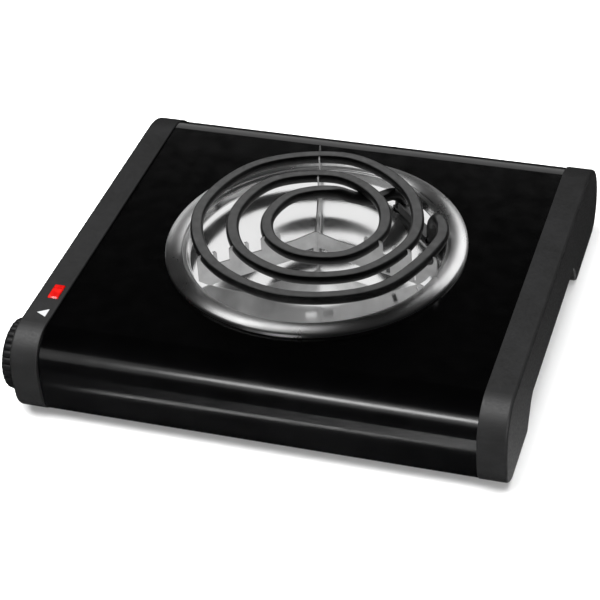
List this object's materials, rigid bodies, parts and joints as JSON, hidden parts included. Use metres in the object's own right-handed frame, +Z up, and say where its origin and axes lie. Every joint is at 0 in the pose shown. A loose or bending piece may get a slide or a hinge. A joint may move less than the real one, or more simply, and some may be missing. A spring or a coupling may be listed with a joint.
{
  "type": "hot plate burner",
  "caption": "Single-coil electric hot plate: wide low steel body between moulded end caps, chrome drip pan, spiral coil and a side dial.",
  "frame": {"origin": "middle of the whole object's footprint, on the surface the rubber feet stand on", "axes": "+X from the dial side to the other end cap, +Y from the rolled front to the back, +Z up"},
  "size_m": [0.2994, 0.2718, 0.0738],
  "materials": {
    "enamel": "gloss black enamel",
    "tray_steel": "satin black enamel",
    "cap_plastic": "fine moulded texture",
    "knob_plastic": "satin",
    "rubber": "matt",
    "lens_red": "translucent red",
    "lamp_glass": "clear",
    "white_print": "printed, satin",
    "bright_steel": "bright strip",
    "zinc_steel": "zinc plated",
    "copper_alloy": "plain",
    "contact_metal": "plain",
    "bimetal": "rolled",
    "insulator": "unglazed ceramic",
    "chrome": "bright plated",
    "sheath": "dark oxidised",
    "gland_plastic": "matt",
    "wire_black": "matt",
    "wire_white": "matt",
    "wire_green": "matt",
    "aluminised": "satin"
  },
  "bodies": {
    "body": {"top_panel": "enamel", "base_tray": "tray_steel", "left_end_cap": "cap_plastic", "right_end_cap": "cap_plastic", "rubber_feet": "rubber", "indicator_lens": "lens_red", "indicator_lamp": "lamp_glass", "lamp_holder": "gland_plastic", "lamp_leads": "wire_white", "pointer_mark": "white_print", "thermostat_frame": "zinc_steel", "thermostat_bushing": "copper_alloy", "thermostat_nut": "zinc_steel", "thermostat_insulators": "insulator", "contact_blade": "copper_alloy", "fixed_contact_blade": "copper_alloy", "bimetal_strip": "bimetal", "thermostat_contacts": "contact_metal", "stack_rivet": "zinc_steel", "terminal_block": "insulator", "terminal_clips": "copper_alloy", "terminal_bracket": "zinc_steel", "heat_shield": "aluminised", "base_screws": "zinc_steel", "floor_screws": "zinc_steel", "ground_screw": "zinc_steel", "cap_screws": "zinc_steel", "cord_gland": "gland_plastic", "line_lead": "wire_black", "load_lead": "wire_black", "neutral_lead": "wire_white", "ground_lead": "wire_green", "ground_ring": "zinc_steel"},
    "dial": {"control_shaft": "zinc_steel", "control_cam": "zinc_steel", "control_knob": "knob_plastic"},
    "pan": {"drip_pan": "chrome"},
    "element": {"coil_element": "sheath", "terminal_beads": "insulator", "terminal_pins": "bright_steel", "lead_clamp": "sheath", "support_front": "bright_steel", "support_back": "bright_steel"}
  },
  "joints": [
    {"name": "dial_turn", "type": "hinge", "parent": "body", "child": "dial", "pos_m": [-0.1258, -0.11085, 0.0295], "axis": [1, 0, 0], "range_deg": [0, 270]},
    {"name": "pan_lift", "type": "slide", "parent": "body", "child": "pan", "axis": [0, 0, 1], "range_m": [0, 0.06]},
    {"name": "element_lift", "type": "slide", "parent": "pan", "child": "element", "axis": [0, 0, 1], "range_m": [0, 0.05]}
  ]
}
